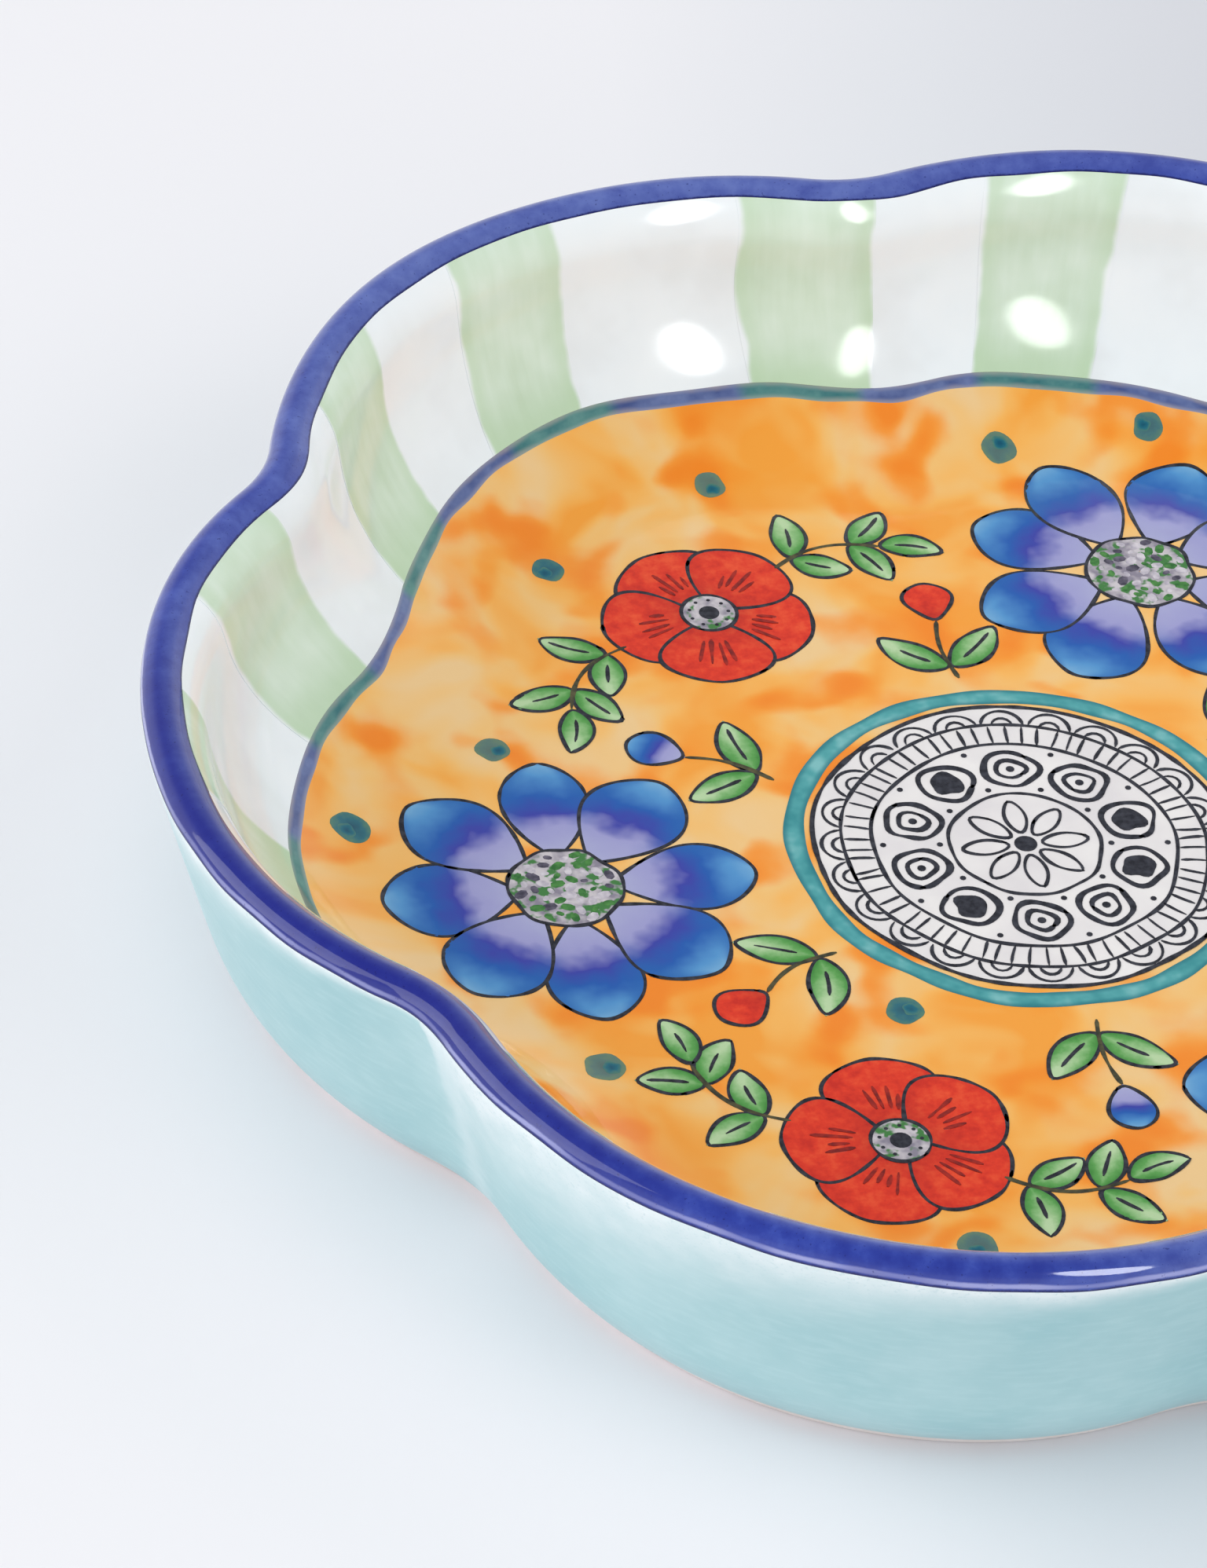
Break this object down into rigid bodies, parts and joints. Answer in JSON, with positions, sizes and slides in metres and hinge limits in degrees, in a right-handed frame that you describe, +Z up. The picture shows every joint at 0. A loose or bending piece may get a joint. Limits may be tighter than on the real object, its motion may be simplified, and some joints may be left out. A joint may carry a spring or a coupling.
{
  "type": "serving dish",
  "caption": "Scalloped glazed ceramic serving dish with a rounded lip, a leaning wall with painted stripes, a coved flat floor and a low foot ring, for holding or serving food.",
  "frame": {"origin": "on the table, under the middle of the dish", "axes": "+Z up out of the dish; +X through the tip of one lobe"},
  "size_m": [0.2, 0.189, 0.035],
  "materials": {
    "clay": "bare fired clay, matte",
    "aqua_glaze": "satin-gloss glaze",
    "cobalt_glaze": "gloss glaze",
    "cream_glaze": "gloss glaze",
    "line_glaze": "gloss glaze",
    "amber_glaze": "gloss glaze, mottled",
    "mint_paint": "gloss glaze, brushed",
    "white_paint": "gloss glaze, drawn on in black",
    "teal_paint": "gloss glaze, brushed",
    "red_paint": "gloss glaze, brushed",
    "blue_paint": "gloss glaze, brushed"
  },
  "bodies": {
    "root": {"dish_body": "clay", "foot_ring": "clay", "outside_glaze": "aqua_glaze", "rim_glaze": "cobalt_glaze", "wall_glaze": "cream_glaze", "floor_line_glaze": "line_glaze", "floor_glaze": "amber_glaze", "base_glaze": "aqua_glaze", "wall_stripe_01": "mint_paint", "wall_stripe_02": "mint_paint", "wall_stripe_03": "mint_paint", "wall_stripe_04": "mint_paint", "wall_stripe_05": "mint_paint", "wall_stripe_06": "mint_paint", "wall_stripe_07": "mint_paint", "wall_stripe_08": "mint_paint", "wall_stripe_09": "mint_paint", "wall_stripe_10": "mint_paint", "wall_stripe_11": "mint_paint", "wall_stripe_12": "mint_paint", "wall_stripe_13": "mint_paint", "wall_stripe_14": "mint_paint", "wall_stripe_15": "mint_paint", "wall_stripe_16": "mint_paint", "wall_stripe_17": "mint_paint", "floor_medallion": "white_paint", "floor_ring": "teal_paint", "floor_poppy_1": "red_paint", "floor_daisy_2": "blue_paint", "floor_poppy_3": "red_paint", "floor_daisy_4": "blue_paint", "floor_poppy_5": "red_paint", "floor_daisy_6": "blue_paint"}
  },
  "joints": []
}
